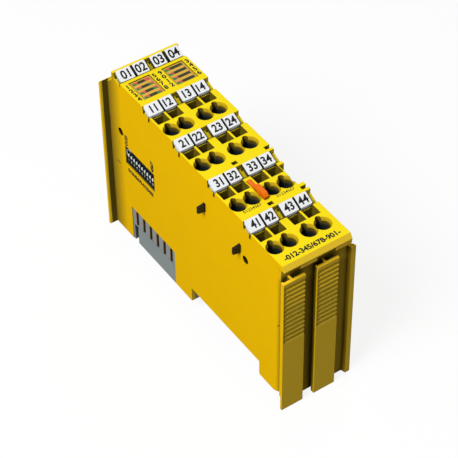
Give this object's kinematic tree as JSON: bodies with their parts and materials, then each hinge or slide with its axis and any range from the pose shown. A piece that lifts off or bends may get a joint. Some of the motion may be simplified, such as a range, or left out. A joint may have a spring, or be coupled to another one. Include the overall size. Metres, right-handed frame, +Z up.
{
  "type": "safety output module",
  "caption": "Narrow stepped terminal module that clips across a flanged strip, with spring clamps, tag rows, light windows, a slide switch and a release lever with its latch",
  "frame": {"origin": "Middle of the width and of the length, at the level of the feet; Z = 0 is the lowest point.", "axes": "X across the width towards the tongues, Y along the length towards the group tags, Z up out of the feet."},
  "size_m": [0.0292, 0.1, 0.0723],
  "materials": {
    "housing_plastic": "fine matt moulded plastic",
    "foot_plastic": "grey matt moulded plastic",
    "lever_plastic": "orange satin plastic",
    "tag_plastic": "white satin plastic",
    "light_guide": "smooth translucent plastic",
    "light_body": "clear moulded resin",
    "switch_plastic": "dark matt plastic",
    "slider_plastic": "white plastic",
    "chip": "black moulded resin",
    "board": "green lacquered laminate",
    "contact_metal": "gold plated spring metal",
    "dark_metal": "darkened plated copper alloy",
    "clamp_steel": "bright spring steel"
  },
  "bodies": {
    "module": {"housing": "housing_plastic", "foot_frame": "foot_plastic", "data_pads": "contact_metal", "power_bar_1": "dark_metal", "power_bar_2": "dark_metal", "main_board": "board", "output_board": "board", "light_board": "board", "link_pins": "contact_metal", "controller_1": "chip", "controller_2": "chip", "output_drivers": "chip", "lights_left": "light_body", "lights_right": "light_body", "light_guide_left": "light_guide", "light_guide_right": "light_guide", "switch_body": "switch_plastic", "data_contact_1": "contact_metal", "data_contact_2": "contact_metal", "data_contact_3": "contact_metal", "data_contact_4": "contact_metal", "data_contact_5": "contact_metal", "data_contact_6": "contact_metal", "group_tag_1": "tag_plastic", "group_tag_2": "tag_plastic", "group_tag_3": "tag_plastic", "group_tag_4": "tag_plastic", "tag_1_1": "tag_plastic", "tag_1_2": "tag_plastic", "tag_1_3": "tag_plastic", "tag_1_4": "tag_plastic", "tag_2_1": "tag_plastic", "tag_2_2": "tag_plastic", "tag_2_3": "tag_plastic", "tag_2_4": "tag_plastic", "tag_3_1": "tag_plastic", "tag_3_2": "tag_plastic", "tag_3_3": "tag_plastic", "tag_3_4": "tag_plastic", "tag_4_1": "tag_plastic", "tag_4_2": "tag_plastic", "tag_4_3": "tag_plastic", "tag_4_4": "tag_plastic", "clamps_row_1": "clamp_steel", "clamps_row_2": "clamp_steel", "clamps_row_3": "clamp_steel", "clamps_row_4": "clamp_steel"},
    "lever": {"release_lever": "lever_plastic"},
    "latch": {"locking_latch": "foot_plastic"},
    "slider_1": {"switch_slider_1": "slider_plastic"},
    "slider_2": {"switch_slider_2": "slider_plastic"},
    "slider_3": {"switch_slider_3": "slider_plastic"},
    "slider_4": {"switch_slider_4": "slider_plastic"},
    "slider_5": {"switch_slider_5": "slider_plastic"},
    "slider_6": {"switch_slider_6": "slider_plastic"},
    "slider_7": {"switch_slider_7": "slider_plastic"},
    "slider_8": {"switch_slider_8": "slider_plastic"},
    "slider_9": {"switch_slider_9": "slider_plastic"},
    "slider_10": {"switch_slider_10": "slider_plastic"}
  },
  "joints": [
    {"name": "lever_pull", "type": "slide", "parent": "module", "child": "lever", "axis": [0, 0, 1], "range_m": [0, 0.003], "stiffness_N_per_m": 200},
    {"name": "latch_slide", "type": "slide", "parent": "module", "child": "latch", "axis": [0, -1, 0], "range_m": [0, 0.0016]},
    {"name": "switch_1", "type": "slide", "parent": "module", "child": "slider_1", "axis": [0, 0, 1], "range_m": [0, 0.0014]},
    {"name": "switch_2", "type": "slide", "parent": "module", "child": "slider_2", "axis": [0, 0, 1], "range_m": [0, 0.0014]},
    {"name": "switch_3", "type": "slide", "parent": "module", "child": "slider_3", "axis": [0, 0, 1], "range_m": [0, 0.0014]},
    {"name": "switch_4", "type": "slide", "parent": "module", "child": "slider_4", "axis": [0, 0, 1], "range_m": [0, 0.0014]},
    {"name": "switch_5", "type": "slide", "parent": "module", "child": "slider_5", "axis": [0, 0, 1], "range_m": [0, 0.0014]},
    {"name": "switch_6", "type": "slide", "parent": "module", "child": "slider_6", "axis": [0, 0, 1], "range_m": [0, 0.0014]},
    {"name": "switch_7", "type": "slide", "parent": "module", "child": "slider_7", "axis": [0, 0, 1], "range_m": [0, 0.0014]},
    {"name": "switch_8", "type": "slide", "parent": "module", "child": "slider_8", "axis": [0, 0, 1], "range_m": [0, 0.0014]},
    {"name": "switch_9", "type": "slide", "parent": "module", "child": "slider_9", "axis": [0, 0, 1], "range_m": [0, 0.0014]},
    {"name": "switch_10", "type": "slide", "parent": "module", "child": "slider_10", "axis": [0, 0, 1], "range_m": [0, 0.0014]}
  ],
  "couplings": [
    {"joint": "latch_slide", "follows": "lever_pull", "ratio": 0.53333}
  ]
}
